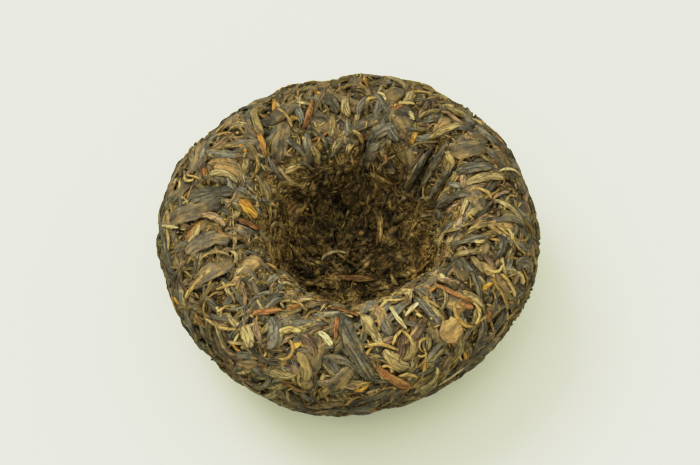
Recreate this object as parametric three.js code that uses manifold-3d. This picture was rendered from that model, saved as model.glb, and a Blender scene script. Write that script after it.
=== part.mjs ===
// A pu-erh tuocha: leaf tea that was steamed, wrapped in a cloth bag and pressed into a thick little bowl.
// It lies on its dome with the hollow up. The cake is one solid: a core with the leaves that show fused on.
// Units are millimetres, +Z is up, and the origin is under the middle of the cake, where it rests.
import * as THREE from "three";
import { mergeVertices } from "three/addons/utils/BufferGeometryUtils.js";
import Module from "manifold-3d";

// Driving dimensions of the cake, under the leaves that stand proud
const cakeRadius = 40.7; // at its widest
const widestHeight = 28.8; // level of the widest ring
const cakeHeight = 40.5; // from the rest to the crest of the rim
const crestRadius = 29.8; // ring of the rim's highest points
const restRadius = 9; // small flat spot on the dome
const waistRadius = 17.6; // where the hollow's wall is steepest
const waistHeight = 27;
const floorHeight = 14; // bottom of the hollow

// Handles of the section's curves: a radius and a height, or a length along the tangent
const domeHandle = { radius: 20.3, height: 2.2 }; // the dome leaves its rest almost level
const flankHandle = 13.5; // and reaches the widest ring upright
const ellipseShare = 0.55; // a handle this share of the half axis makes a quarter of an ellipse
const wallTopHandle = { out: 0.6, up: 7 }; // the hollow's wall, above its waist
const wallFootHandle = { radius: 16.4, height: 15.5 }; // and below it
const floorHandle = 11; // radius up to which the floor is almost level

// What makes the pressing uneven
const oval = { share: 0.006, turn: 38 }; // lobes of the plan, with their turn in degrees
const threeSided = { share: 0.005, turn: 172 };
const hollowShift = 1.6; // the hollow sits a little off centre, towards +X
const lump = { height: 0.45, pitch: 15 };
const ripple = { height: 0.3, pitch: 7.5 };
const bumpRise = 0.5; // share of a bump that also lifts the surface
const crossingWaves = [
  { direction: new THREE.Vector3(1, 0.4, 0), phase: 0 },
  { direction: new THREE.Vector3(0, 0.9, -0.5), phase: 1.7 },
  { direction: new THREE.Vector3(0.6, -0.3, 0.8), phase: 4.1 },
];
const pleats = [
  // creases that the gathered cloth left in the hollow: bearing and half width in degrees, depth in mm
  { bearing: 91, halfWidth: 6, depth: 2.3 },
  { bearing: 52, halfWidth: 7, depth: 3.2 },
  { bearing: 24, halfWidth: 6, depth: 2.6 },
  { bearing: 142, halfWidth: 8, depth: 1.5 },
  { bearing: 205, halfWidth: 8, depth: 1.4 },
  { bearing: 268, halfWidth: 9, depth: 1.1 },
  { bearing: 325, halfWidth: 7, depth: 1.6 },
];

// How those fade in: from where, and over how many mm
const aboveRest = { from: 0.5, over: 5.5 };
const insideCrest = { from: 1, over: 8 };
const aboveFloor = { from: 0, over: 6 };
const shiftInside = { from: -3, over: 14 };
const shiftAbove = { from: 8, over: 10 };
const leastRadius = { bump: 12, walk: 4 }; // nearer the axis than this, an angle counts as it does here

// The pieces that show, largest first: how many, and their sizes from smallest to largest
const flakes = { count: 14, length: [7, 10], width: [5.5, 8], thick: 1.9, bend: 0, sides: 6, rings: 4 };
const leaves = { count: 84, length: [12, 19], width: [3.6, 5.2], thick: 2, bend: 0.09, sides: 4, rings: 5 };
const stems = { count: 24, length: [13, 21], width: [1.8, 2.4], thick: 2.2, bend: 0.11, sides: 3, rings: 5 };
const raised = [-0.12, 0.1]; // how far a piece's middle lies above the core, as a share of its thickness
const topNarrowing = 0.22; // how much narrower a piece is at its top than at its middle
const restGap = 0.35; // the pieces stop this far above what the cake rests on
const firstRadius = 13; // ring round the rest where the first piece is centred
const coveredShare = 0.985; // share of the cake's area up to which pieces are centred
const seed = 20061;

// Fineness of the solid
const coreTurns = 34;
const coreStepsPerCurve = 5;
const sectionSteps = 400;
const weldDistance = 1e-3;

const leafColour = 0x4d4431;
const leafRoughness = 0.72;

const goldenAngle = Math.PI * (3 - Math.sqrt(5));
const { lerp, clamp, smoothstep, degToRad, radToDeg } = THREE.MathUtils;

function seededRandom(start) {
  let state = start;
  return () => {
    state = (state + 0x6d2b79f5) | 0;
    let t = Math.imul(state ^ (state >>> 15), 1 | state);
    t = (t + Math.imul(t ^ (t >>> 7), 61 | t)) ^ t;
    return ((t ^ (t >>> 14)) >>> 0) / 2 ** 32;
  };
}

function fade(distance, { from, over }) {
  return smoothstep(distance, from, from + over);
}

// Half the cake's section, as radius and height: from the middle of the rest, out and over the rim,
// to the middle of the hollow's floor
function cakeSection() {
  const lip = {
    up: ellipseShare * (cakeHeight - widestHeight),
    out: ellipseShare * (cakeRadius - crestRadius),
    in: ellipseShare * (crestRadius - waistRadius),
  };
  const wallTop = [waistRadius + wallTopHandle.out, waistHeight + wallTopHandle.up];
  const section = new THREE.Path();
  section.moveTo(0, 0);
  section.lineTo(restRadius, 0);
  section.bezierCurveTo(
    domeHandle.radius, domeHandle.height, cakeRadius, widestHeight - flankHandle, cakeRadius, widestHeight,
  );
  section.bezierCurveTo(
    cakeRadius, widestHeight + lip.up, crestRadius + lip.out, cakeHeight, crestRadius, cakeHeight,
  );
  section.bezierCurveTo(crestRadius - lip.in, cakeHeight, ...wallTop, waistRadius, waistHeight);
  section.bezierCurveTo(
    wallFootHandle.radius, wallFootHandle.height, floorHandle, floorHeight, 0, floorHeight,
  );
  return section;
}

// The turned surface of the cake before the uneven pressing. A place on it is a share of the section's length,
// from the middle of the rest to the middle of the hollow's floor, and a bearing round the axis.
class TurnedSurface {
  constructor(section) {
    const points = section.getSpacedPoints(sectionSteps);
    points[0].x = points[sectionSteps].x = 0;
    this.length = section.getLength();
    this.rows = [];
    let area = 0; // of the cake from the rest up to this row
    points.forEach((point, i) => {
      const before = points[Math.max(0, i - 1)];
      const after = points[Math.min(sectionSteps, i + 1)];
      const along = after.clone().sub(before).normalize();
      area += Math.PI * (point.x + before.x) * point.distanceTo(before);
      this.rows.push({ point, normal: new THREE.Vector2(along.y, -along.x), area });
    });
    this.area = area;
  }

  // The point at a place, raised along the normal
  point({ place, bearing }, lift) {
    const at = clamp(place, 0, 1) * sectionSteps;
    const low = Math.min(Math.floor(at), sectionSteps - 1);
    const point = this.rows[low].point.clone().lerp(this.rows[low + 1].point, at - low);
    const normal = this.rows[low].normal.clone().lerp(this.rows[low + 1].normal, at - low).normalize();
    const radius = point.x + lift * normal.x;
    return new THREE.Vector3(radius * Math.cos(bearing), radius * Math.sin(bearing), point.y + lift * normal.y);
  }

  // The place a few mm on from another, along the section and round the axis
  step({ place, bearing }, alongSection, roundAxis) {
    const at = this.point({ place, bearing }, 0);
    const radius = Math.max(Math.hypot(at.x, at.y), leastRadius.walk);
    return { place: place + alongSection / this.length, bearing: bearing + roundAxis / radius };
  }

  placeWhere(test) {
    return this.rows.findIndex(test) / sectionSteps;
  }
}

// Smooth bumps, from -1 to 1
function waves(point, pitch) {
  const turns = (2 * Math.PI) / pitch;
  const heights = crossingWaves.map(({ direction, phase }) => Math.sin(turns * direction.dot(point) + phase));
  return heights.reduce((sum, height) => sum + height) / heights.length;
}

function pleatDepth(bearing) {
  return pleats.reduce((depth, pleat) => {
    const turn = radToDeg(bearing) - pleat.bearing;
    const apart = turn - 360 * Math.round(turn / 360);
    return depth + pleat.depth * Math.exp(-((apart / pleat.halfWidth) ** 2));
  }, 0);
}

// Moves a point of the true turned shape to where the uneven pressing left it
function pressUnevenly(point) {
  const bearing = Math.atan2(point.y, point.x);
  const radius = Math.hypot(point.x, point.y);
  const inside = crestRadius - radius;
  const inHollow = fade(inside, insideCrest) * fade(point.z - floorHeight, aboveFloor);
  const lumps = lump.height * waves(point, lump.pitch);
  const ripples = ripple.height * waves(point, ripple.pitch);
  const bump = fade(point.z, aboveRest) * (lumps + ripples);
  const lobes =
    oval.share * Math.cos(2 * (bearing - degToRad(oval.turn))) +
    threeSided.share * Math.cos(3 * (bearing - degToRad(threeSided.turn)));
  const outwards = bump * (1 - 2 * inHollow) + inHollow * pleatDepth(bearing);
  const stretch = 1 + lobes + outwards / Math.max(radius, leastRadius.bump);
  const shift = hollowShift * fade(inside, shiftInside) * fade(point.z, shiftAbove);
  return new THREE.Vector3(point.x * stretch + shift, point.y * stretch, point.z + bumpRise * bump);
}

// Closed triangle geometry with one vertex for each corner
function welded(geometry) {
  geometry.deleteAttribute("normal");
  geometry.deleteAttribute("uv");
  const merged = mergeVertices(geometry, weldDistance);
  const kept = [];
  const index = merged.index.array;
  for (let i = 0; i < index.length; i += 3) {
    const [a, b, c] = [index[i], index[i + 1], index[i + 2]];
    if (a !== b && b !== c && c !== a) kept.push(a, b, c);
  }
  merged.setIndex(kept);
  return merged;
}

function moveVertices(geometry, rule) {
  const position = geometry.getAttribute("position");
  const vertex = new THREE.Vector3();
  for (let i = 0; i < position.count; i++) {
    const moved = rule(vertex.fromBufferAttribute(position, i));
    position.setXYZ(i, moved.x, moved.y, moved.z);
  }
  return geometry;
}

function coreGeometry(section) {
  const outline = section.getPoints(coreStepsPerCurve);
  outline[0].x = outline.at(-1).x = 0;
  const turned = new THREE.LatheGeometry(outline, coreTurns); // about its own Y, which is stood up along Z
  return welded(moveVertices(turned.rotateX(Math.PI / 2), pressUnevenly));
}

// Where the middle line of a piece runs: a walk over the cake that turns by the same angle at each step
function walkOver(surface, start, heading, length, bend, steps) {
  const stride = length / steps;
  const path = [];
  let at = start;
  for (let i = 0; i <= steps; i++) {
    const course = heading + bend * (i * stride - length / 2);
    path.push({ at, course });
    at = surface.step(at, Math.cos(course) * stride, Math.sin(course) * stride);
  }
  return path;
}

// One leaf, stem or flake: a long low ball that is laid along its path, half sunk in the core
function pieceGeometry(surface, kind, start, random) {
  const length = lerp(...kind.length, random());
  const width = lerp(...kind.width, random());
  const bend = kind.bend * lerp(-1, 1, random());
  const middleLift = lerp(...raised, random()) * kind.thick;
  const path = walkOver(surface, start, 2 * Math.PI * random(), length, bend, kind.rings);
  const ball = new THREE.SphereGeometry(1, kind.sides, kind.rings).rotateY(Math.PI / 2 - Math.PI / kind.sides);
  const layDown = ({ x, y, z }) => {
    const ring = Math.round((Math.acos(clamp(y, -1, 1)) / Math.PI) * kind.rings);
    const { at, course } = path[ring];
    const aside = (-x * width * (1 - topNarrowing * Math.max(z, 0))) / 2;
    const place = surface.step(at, -Math.sin(course) * aside, Math.cos(course) * aside);
    const moved = pressUnevenly(surface.point(place, middleLift + (z / 2) * kind.thick));
    moved.z = Math.max(moved.z, restGap);
    return moved;
  };
  return welded(moveVertices(ball, layDown));
}

// Spreads the pieces evenly over the cake's area, each kind on a spiral of its own
function* piecesOn(surface, random) {
  const firstPlace = surface.placeWhere(({ point }) => point.x > firstRadius);
  const firstArea = surface.rows[Math.round(firstPlace * sectionSteps)].area;
  for (const kind of [flakes, leaves, stems]) {
    const firstBearing = 2 * Math.PI * random();
    for (let i = 0; i < kind.count; i++) {
      const wanted = lerp(firstArea, surface.area * coveredShare, (i + 0.5) / kind.count);
      const place = surface.placeWhere(({ area }) => area >= wanted);
      yield pieceGeometry(surface, kind, { place, bearing: firstBearing + i * goldenAngle }, random);
    }
  }
}

const wasm = await Module();
wasm.setup();

function solidOf(geometry) {
  const vertProperties = Float32Array.from(geometry.getAttribute("position").array);
  const triVerts = Uint32Array.from(geometry.index.array);
  return new wasm.Manifold(new wasm.Mesh({ numProp: 3, vertProperties, triVerts }));
}

function geometryOf(solid) {
  const mesh = solid.getMesh();
  const geometry = new THREE.BufferGeometry();
  geometry.setAttribute("position", new THREE.BufferAttribute(Float32Array.from(mesh.vertProperties), 3));
  geometry.setIndex(new THREE.BufferAttribute(Uint32Array.from(mesh.triVerts), 1));
  return geometry;
}

// The outer skin alone: an air pocket that crossing leaves shut in is filled, and a loose scrap is dropped.
// Pockets that touch the skin at a point come apart only once the vertices there are welded, so it repeats.
function outerSkin(solid) {
  const bodies = solidOf(welded(geometryOf(solid).toNonIndexed())).decompose();
  const largest = bodies.reduce((a, b) => (a.volume() > b.volume() ? a : b));
  return bodies.length > 1 ? outerSkin(largest) : largest;
}

function fuse(core, pieces) {
  let whole = solidOf(core);
  for (const piece of pieces) whole = whole.add(solidOf(piece));
  return geometryOf(outerSkin(whole));
}

function tuochaMesh() {
  const section = cakeSection();
  const pieces = piecesOn(new TurnedSurface(section), seededRandom(seed));
  const geometry = fuse(coreGeometry(section), pieces);
  geometry.computeBoundingBox();
  const middle = geometry.boundingBox.getCenter(new THREE.Vector3());
  geometry.translate(-middle.x, -middle.y, 0);
  const pressedLeaf = new THREE.MeshStandardMaterial({
    color: leafColour,
    roughness: leafRoughness,
    metalness: 0,
    flatShading: true,
  });
  const mesh = new THREE.Mesh(geometry, pressedLeaf);
  mesh.name = "tuocha";
  return mesh;
}

const tuocha = new THREE.Group();
tuocha.add(tuochaMesh());

export default tuocha;
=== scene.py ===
# A pu-erh tuocha: a thick little bowl of pressed tea leaves, lying on its dome with the hollow up.
# The cake is built from the leaf itself: a dark core of broken leaf, and some thousands of twisted leaves,
# flakes, stems and buds that are laid over it, overlap, and are pressed flush by the cloth bag.
import math
from functools import partialmethod
import bpy
import numpy as np
from mathutils import Matrix, Vector, noise
from mathutils.bvhtree import BVHTree


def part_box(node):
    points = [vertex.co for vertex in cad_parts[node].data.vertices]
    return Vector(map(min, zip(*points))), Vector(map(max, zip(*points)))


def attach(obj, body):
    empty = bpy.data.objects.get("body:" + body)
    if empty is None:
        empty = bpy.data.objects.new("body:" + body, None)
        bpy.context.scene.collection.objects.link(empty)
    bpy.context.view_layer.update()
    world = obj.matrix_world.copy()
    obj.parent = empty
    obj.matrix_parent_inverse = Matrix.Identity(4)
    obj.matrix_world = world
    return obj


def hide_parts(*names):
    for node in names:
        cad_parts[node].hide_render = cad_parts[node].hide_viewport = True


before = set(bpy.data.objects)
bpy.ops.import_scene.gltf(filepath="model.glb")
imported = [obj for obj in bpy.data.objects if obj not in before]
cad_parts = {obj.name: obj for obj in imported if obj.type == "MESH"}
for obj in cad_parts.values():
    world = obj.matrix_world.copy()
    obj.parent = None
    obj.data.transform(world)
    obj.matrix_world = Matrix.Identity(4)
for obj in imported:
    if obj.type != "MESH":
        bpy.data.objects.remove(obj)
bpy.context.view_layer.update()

mm = 0.001

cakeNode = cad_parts["tuocha"]
cakeLow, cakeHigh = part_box("tuocha")

# The skin is the surface that the leaves are pressed to. Its widest ring and its crest follow the solid.
cake = dict(
    radius=(cakeHigh.x - cakeLow.x + cakeHigh.y - cakeLow.y) / 4,
    height=cakeHigh.z - 1 * mm,  # the leaves stand about this far above the skin
    widestHeight=28.8 * mm,
    crestRadius=29.8 * mm,  # ring of the rim's highest points
    restRadius=9 * mm,  # small flat spot on the dome
    waistRadius=17.6 * mm,  # where the hollow's wall is steepest
    waistHeight=27 * mm,
    floorHeight=14 * mm,
    domeHandle=(20.3 * mm, 2.2 * mm),  # handles of the section's curves
    flankHandle=13.5 * mm,
    ellipseShare=0.55,
    wallTopHandle=(0.6 * mm, 7 * mm),
    wallFootHandle=(16.4 * mm, 15.5 * mm),
    floorHandle=11 * mm,
    curveSteps=64,
    rows=200,
    turns=300,
    coreInset=(1.15 * mm, 0.75 * mm),  # the core of broken leaf lies this far under the skin: rim, hollow
    hollowFrom=(4 * mm, 8 * mm),  # inside the crest, where that changes: from, over
    corePatch=(0.9 * mm, 8 * mm),  # matted patches of the core: height, pitch
    coreScraps=(0.45 * mm, 1.3 * mm),
)

# What makes the pressing uneven: lobes of the plan, bumps, and the creases that the gathered cloth left
pressing = dict(
    # count, share of the radius, turn in degrees
    lobes=((1, 0.006, 13), (2, 0.008, 47), (3, 0.011, 37), (4, 0.012, 340)),
    hollowShift=1.6 * mm,
    lump=(0.45 * mm, 15 * mm),  # height, pitch
    ripple=(0.3 * mm, 7.5 * mm),
    bumpRise=0.5,
    waves=(((1, 0.4, 0), 0), ((0, 0.9, -0.5), 1.7), ((0.6, -0.3, 0.8), 4.1)),
    # bearing and half width in degrees, depth
    pleats=(
        (82, 5, 2.4 * mm), (60, 6, 1.2 * mm), (44, 4.5, 3.8 * mm), (27, 4.5, 3.2 * mm), (11, 4.5, 1.8 * mm),
        (142, 8, 1.5 * mm), (205, 8, 1.4 * mm), (268, 9, 1.1 * mm), (325, 7, 1.6 * mm),
    ),
    aboveRest=(0.5 * mm, 5.5 * mm),  # where each kind fades in: from, over
    insideCrest=(1 * mm, 8 * mm),
    aboveFloor=(0, 6 * mm),
    shiftInside=(-3 * mm, 14 * mm),
    shiftAbove=(8 * mm, 10 * mm),
    leastRadius=12 * mm,
    pleatPower=1.3,  # how pointed a crease is across
)


def fade(distance, fromOver):
    start, over = fromOver
    t = np.clip((distance - start) / over, 0, 1)
    return t * t * (3 - 2 * t)


def bezier(a, b, c, d):
    t = np.linspace(0, 1, cake["curveSteps"] + 1)[:, None]
    a, b, c, d = (np.array(p, float) for p in (a, b, c, d))
    return (1 - t) ** 3 * a + 3 * (1 - t) ** 2 * t * b + 3 * (1 - t) * t ** 2 * c + t ** 3 * d


# Half the cake's section as (radius, height): from the middle of the rest over the rim to the hollow's floor
def cakeSection():
    c = cake
    widest = (c["radius"], c["widestHeight"])
    crest = (c["crestRadius"], c["height"])
    waist = (c["waistRadius"], c["waistHeight"])
    share = c["ellipseShare"]
    lipUp = share * (crest[1] - widest[1])
    lipOut = share * (widest[0] - crest[0])
    lipIn = share * (crest[0] - waist[0])
    out, up = c["wallTopHandle"]
    curves = [
        np.linspace((0, 0), (c["restRadius"], 0), c["curveSteps"] + 1),
        bezier((c["restRadius"], 0), c["domeHandle"], (widest[0], widest[1] - c["flankHandle"]), widest),
        bezier(widest, (widest[0], widest[1] + lipUp), (crest[0] + lipOut, crest[1]), crest),
        bezier(crest, (crest[0] - lipIn, crest[1]), (waist[0] + out, waist[1] + up), waist),
        bezier(waist, c["wallFootHandle"], (c["floorHandle"], c["floorHeight"]), (0, c["floorHeight"])),
    ]
    line = np.concatenate([curve[1 if i else 0:] for i, curve in enumerate(curves)])
    reach = np.concatenate([[0], np.cumsum(np.linalg.norm(np.diff(line, axis=0), axis=1))])
    even = np.linspace(0, reach[-1], c["rows"] + 1)
    return np.stack([np.interp(even, reach, line[:, i]) for i in range(2)], axis=1)


# Moves points of the true turned shape to where the uneven pressing left them
def pressUnevenly(points):
    p = pressing
    x, y, height = points.T
    bearing, radius = np.arctan2(y, x), np.hypot(x, y)
    inside = cake["crestRadius"] - radius
    inHollow = fade(inside, p["insideCrest"]) * fade(height - cake["floorHeight"], p["aboveFloor"])

    def waves(pitch):
        turn = 2 * math.pi / pitch
        return np.mean([np.sin(turn * points @ np.array(d) + phase) for d, phase in p["waves"]], axis=0)

    bump = fade(height, p["aboveRest"]) * sum(rise * waves(pitch) for rise, pitch in (p["lump"], p["ripple"]))
    lobes = sum(share * np.cos(count * (bearing - math.radians(turn))) for count, share, turn in p["lobes"])
    crease = np.zeros(len(points))
    for middle, halfWidth, depth in p["pleats"]:
        apart = np.degrees(bearing) - middle
        apart -= 360 * np.round(apart / 360)
        crease += depth * np.exp(-np.abs(apart / halfWidth) ** p["pleatPower"])
    outwards = bump * (1 - 2 * inHollow) + inHollow * crease
    stretch = 1 + lobes + outwards / np.maximum(radius, p["leastRadius"])
    shift = p["hollowShift"] * fade(inside, p["shiftInside"]) * fade(height, p["shiftAbove"])
    raised = height + p["bumpRise"] * bump
    return np.stack([x * stretch + shift, y * stretch, raised], axis=1)


# The middle of the solid's flat spot, about which the cake is turned
def restMiddle():
    corners = np.array([v.co for v in cakeNode.data.vertices])
    flat = corners[corners[:, 2] < 0.001 * mm]
    return np.unique(flat.round(6), axis=0).mean(0)


def cakeSurface(name, rimInset=0, hollowInset=0):
    section = cakeSection()
    along = np.gradient(section, axis=0)
    along /= np.linalg.norm(along, axis=1)[:, None]
    past = np.arange(len(section)) > np.argmax(section[:, 1])
    inHollow = past * fade(cake["crestRadius"] - section[:, 0], cake["hollowFrom"])
    inset = rimInset + (hollowInset - rimInset) * inHollow
    section = section + inset[:, None] * np.stack([-along[:, 1], along[:, 0]], axis=1)
    section[[0, -1], 0] = 0
    rows, turns = cake["rows"], cake["turns"]
    bearing = np.arange(turns) * 2 * math.pi / turns
    around = np.tile(bearing, rows - 1)
    radius, height = np.repeat(section[1:-1], turns, axis=0).T
    rings = np.stack([radius * np.cos(around), radius * np.sin(around), height], axis=1)
    points = np.concatenate([[[0, 0, section[0, 1]]], rings, [[0, 0, section[-1, 1]]]])
    points = pressUnevenly(points) + restMiddle() * (1, 1, 0)
    points[:, 2] = np.maximum(points[:, 2], rimInset)
    first = 1 + np.arange(rows - 2)[:, None] * turns
    here = np.arange(turns)
    beside = np.roll(here, -1)
    quads = np.stack([first + here, first + beside, first + turns + beside, first + turns + here], axis=2)
    last = len(points) - 1
    faces = [(0, 1 + b, 1 + a) for a, b in zip(here, beside)]
    faces += quads.reshape(-1, 4).tolist()
    faces += [(last, last - turns + a, last - turns + b) for a, b in zip(here, beside)]
    mesh = bpy.data.meshes.new(name)
    mesh.from_pydata(points.tolist(), [], faces)
    mesh.shade_smooth()
    return mesh


# Raises parts of the core between the leaves, and breaks it up into scraps
def roughenCore(mesh):
    patch, scraps = cake["corePatch"], cake["coreScraps"]
    raised = [
        v.co + v.normal * sum(height * noise.noise(v.co / pitch) for height, pitch in (patch, scraps))
        for v in mesh.vertices
    ]
    for v, place in zip(mesh.vertices, raised):
        v.co = place if place.z > cake["coreInset"][0] else v.co
    mesh.update()


def addObject(name, data):
    obj = bpy.data.objects.new(name, data)
    bpy.context.scene.collection.objects.link(obj)
    return obj


# The camera stands where the photograph was taken from: it looks down along +Y
view = dict(
    distance=450 * mm,  # to the middle of what the cake rests on
    elevation=57.63,
    roll=-1.96,
    frame=(700, 465),  # of the picture, in pixels
    restAt=(350.9, 308.6),  # where the middle of the rest is in it
    focalPixels=1974,
    sensor=36,
    nearest=10 * mm,
)


def makeCamera():
    v = view
    camera = bpy.data.cameras.new("camera")
    camera.sensor_width = v["sensor"]
    camera.lens = v["focalPixels"] * v["sensor"] / v["frame"][0]
    camera.clip_start = v["nearest"]
    obj = addObject("camera", camera)
    elevation = math.radians(v["elevation"])
    towards = Vector((0, math.cos(elevation), -math.sin(elevation)))
    turn = towards.to_track_quat("-Z", "Y").to_matrix() @ Matrix.Rotation(math.radians(v["roll"]), 3, "Z")
    aside, below = ((at - size / 2) / v["focalPixels"] for at, size in zip(v["restAt"], v["frame"]))
    offAxis = Vector((0, 0, -1)).rotation_difference(Vector((aside, -below, -1))).to_matrix()
    obj.matrix_world = Matrix.Translation(-v["distance"] * towards) @ (turn @ offAxis.inverted()).to_4x4()
    bpy.context.scene.camera = obj
    return obj


# Short calls for building a node tree
class Graph:
    def __init__(self, tree):
        self.tree = tree

    def add(self, kind, values=(), **settings):
        node = self.tree.nodes.new(kind)
        for name, value in settings.items():
            setattr(node, name, value)
        sockets = [s for s in node.inputs if s.enabled]
        named = values.items() if isinstance(values, dict) else enumerate(values)
        for key, value in named:
            socket = sockets[key] if isinstance(key, int) else next(s for s in sockets if s.name == key)
            if isinstance(value, bpy.types.NodeSocket):
                self.tree.links.new(value, socket)
            elif value is not None:
                socket.default_value = value
        return node

    def out(self, kind, values=(), **settings):
        return next(s for s in self.add(kind, values, **settings).outputs if s.enabled)

    def give(self, values):
        results = self.tree.nodes.new("NodeGroupOutput").inputs
        for name, value in values.items():
            self.tree.links.new(value, results[name])

    def math(self, operation, *values):
        return self.out("ShaderNodeMath", values, operation=operation)

    def vector(self, operation, *values):
        return self.out("ShaderNodeVectorMath", values, operation=operation)

    plus = partialmethod(math, "ADD")
    minus = partialmethod(math, "SUBTRACT")
    times = partialmethod(math, "MULTIPLY")
    over = partialmethod(math, "DIVIDE")
    timesPlus = partialmethod(math, "MULTIPLY_ADD")
    move = partialmethod(vector, "ADD")
    scale = partialmethod(vector, "SCALE")
    length = partialmethod(vector, "LENGTH")
    normal = partialmethod(vector, "NORMALIZE")

    def combine(self, x, y, z):
        return self.out("ShaderNodeCombineXYZ", (x, y, z))

    def split(self, vector):
        return self.add("ShaderNodeSeparateXYZ", (vector,)).outputs[:3]

    def remap(self, value, low, high, toLow=0.0, toHigh=1.0, smooth=False):
        kind = "SMOOTHSTEP" if smooth else "LINEAR"
        return self.out("ShaderNodeMapRange", (value, low, high, toLow, toHigh), interpolation_type=kind)

    def noise(self, vector, scale, detail=1.0):
        return self.out("ShaderNodeTexNoise", {"Vector": vector, "Scale": scale, "Detail": detail})

    def cloud(self, vector, pitch, detail, low, high):
        return self.remap(self.noise(vector, 1 / pitch, detail), low, high)

    def store(self, geometry, name, value, kind="FLOAT_VECTOR", domain="POINT"):
        values = {"Geometry": geometry, "Name": name, "Value": value}
        return self.out("GeometryNodeStoreNamedAttribute", values, data_type=kind, domain=domain)

    def read(self, name):
        return self.out("GeometryNodeInputNamedAttribute", (name,), data_type="FLOAT_VECTOR")

    def meshOf(self, thing):
        return self.add("GeometryNodeObjectInfo", (thing,)).outputs["Geometry"]

    def parts(self, name):
        return self.split(self.read(name))


def newGroup(name, kind, **sockets):
    g = Graph(bpy.data.node_groups.new(name, kind))
    for way, kinds in sockets.items():
        for socket, kind in kinds.items():
            g.tree.interface.new_socket(socket, in_out=way, socket_type="NodeSocket" + kind)
    return g, g.tree.nodes.new("NodeGroupInput").outputs


topShare = 0.45  # crowds the corners of a leaf's section on the side that shows


# A leaf before it is laid: closed, from 0 to 1 along X, with a round section that tapers to both ends
def leafForm(name, sides, rings, blunt):
    along = 0.5 - 0.5 * np.cos(np.linspace(0, math.pi, rings + 1))
    taper = (1 - np.abs(2 * along - 1) ** blunt) ** 0.5
    share = (np.arange(sides) + 0.5) / sides
    angle = share * 2 * math.pi + topShare * np.sin(2 * math.pi * share) - math.pi / 2
    points = [(0, 0, 0)]
    points += [(s, t * math.cos(a), t * math.sin(a)) for s, t in zip(along[1:-1], taper[1:-1]) for a in angle]
    points += [(1, 0, 0)]
    faces, places = [], []
    last = len(points) - 1
    for j in range(sides):
        low, high = j / sides, (j + 1) / sides
        middle = (low + high) / 2
        here, beside = 1 + j, 1 + (j + 1) % sides
        faces.append((0, beside, here))
        places += [(along[0], middle), (along[1], high), (along[1], low)]
        for near, far in zip(along[1:-2], along[2:-1]):
            faces.append((here, beside, beside + sides, here + sides))
            places += [(near, low), (near, high), (far, high), (far, low)]
            here, beside = here + sides, beside + sides
        faces.append((last, here, beside))
        places += [(along[-1], middle), (along[-2], low), (along[-2], high)]
    mesh = bpy.data.meshes.new(name)
    mesh.from_pydata(points, [], faces)
    mesh.uv_layers.new(name="OFBake").uv.foreach_set("vector", np.array(places, np.float32).ravel())
    return addObject(name, mesh)


# How leaves follow the cake and are pressed, the same for every kind
laying = dict(
    steps=8,  # of the walk over the skin from a leaf's middle to its end
    crowd=3.0,  # leaves tried for each that the spacing leaves room for
    seedStep=10.0,
    leastBent=0.25,  # of a kind's most bend
    curlPitch=4 * mm,
    swirlPitch=15 * mm,
    swirl=5.0,  # how far the swirls turn the leaves, in radians
    hollow=(24 * mm, 15 * mm, 12 * mm),  # radius from and to, and least height
    calm=0.35,  # what is left of the swirls in the hollow
    small=(0.75, 0.75, 0.9),  # and of the length, width and thickness of the leaves
    sunk=0.15 * mm,  # how much deeper they lie there
    radialTurn=math.radians(90),  # leaves run from the hollow outwards over the rim
    flankAt=(31 * mm, 38 * mm),  # and round the cake on its flank: radius from and to
    lobes=4.0,  # ridges round a leaf
    noiseStep=dict(curl=5.1, outline=7.3, wave=3.7),  # tells the leaves' shapes apart
    outlineWaves=3.8,  # along a leaf
    outlineDetail=3.0,
    outlineBand=(0.25, 0.75, 0.27, 0.70),  # of the noise, and what share of the width half a leaf is
    levelWaves=3.1,
    pressedTop=0.4 * mm,  # the cloth stopped the leaves about this far above the skin
    pressedSoft=0.25 * mm,
    pressedShare=0.22,  # what is left of a height above that
    lumps=0.7 * mm,
    lumpPitch=5 * mm,
    lowest=-1.3 * mm,
    restLevel=(0.02 * mm, 0.35 * mm),
    margin=0.03,  # of a leaf's cell in the bake map
)

leafInputs = {"Geometry": "Geometry", "Leaf Form": "Object", "Landmarks": "Object", "Material": "Material"}
leafInputs |= {"Seed": "Int", "Smallest": "Vector", "Largest": "Vector"}
leafInputs |= dict.fromkeys(("Spacing", "Outside", "Shrink", "Bend", "Curl", "Twist", "Ridge"), "Float")
leafInputs |= dict.fromkeys(("Lowest", "Highest", "Dip", "Spread"), "Float")


def leafLayerTree():
    g, given = newGroup("lay leaves", "GeometryNodeTree", INPUT=leafInputs, OUTPUT={"Geometry": "Geometry"})
    g.tree.is_modifier = True
    position = g.out("GeometryNodeInputPosition")
    skin = g.store(given["Geometry"], "layNormal", g.out("GeometryNodeInputNormal"))
    points = scatterPoints(g, given, skin, position)
    leaves = placeForms(g, given, points, position)
    leaves = walkOverSkin(g, skin, leaves, position)
    leaves = shapeLeaves(g, given, skin, leaves, position)
    leaves = packMap(g, leaves)
    leaves = g.out("GeometryNodeRemoveAttribute", (leaves, "lay*"), pattern_mode="WILDCARD")
    leaves = g.out("GeometryNodeSetShadeSmooth", {"Geometry": leaves, "Shade Smooth": True})
    leaves = g.out("GeometryNodeSetMaterial", {"Geometry": leaves, "Material": given["Material"]})
    g.give({"Geometry": leaves})
    return g.tree


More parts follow.
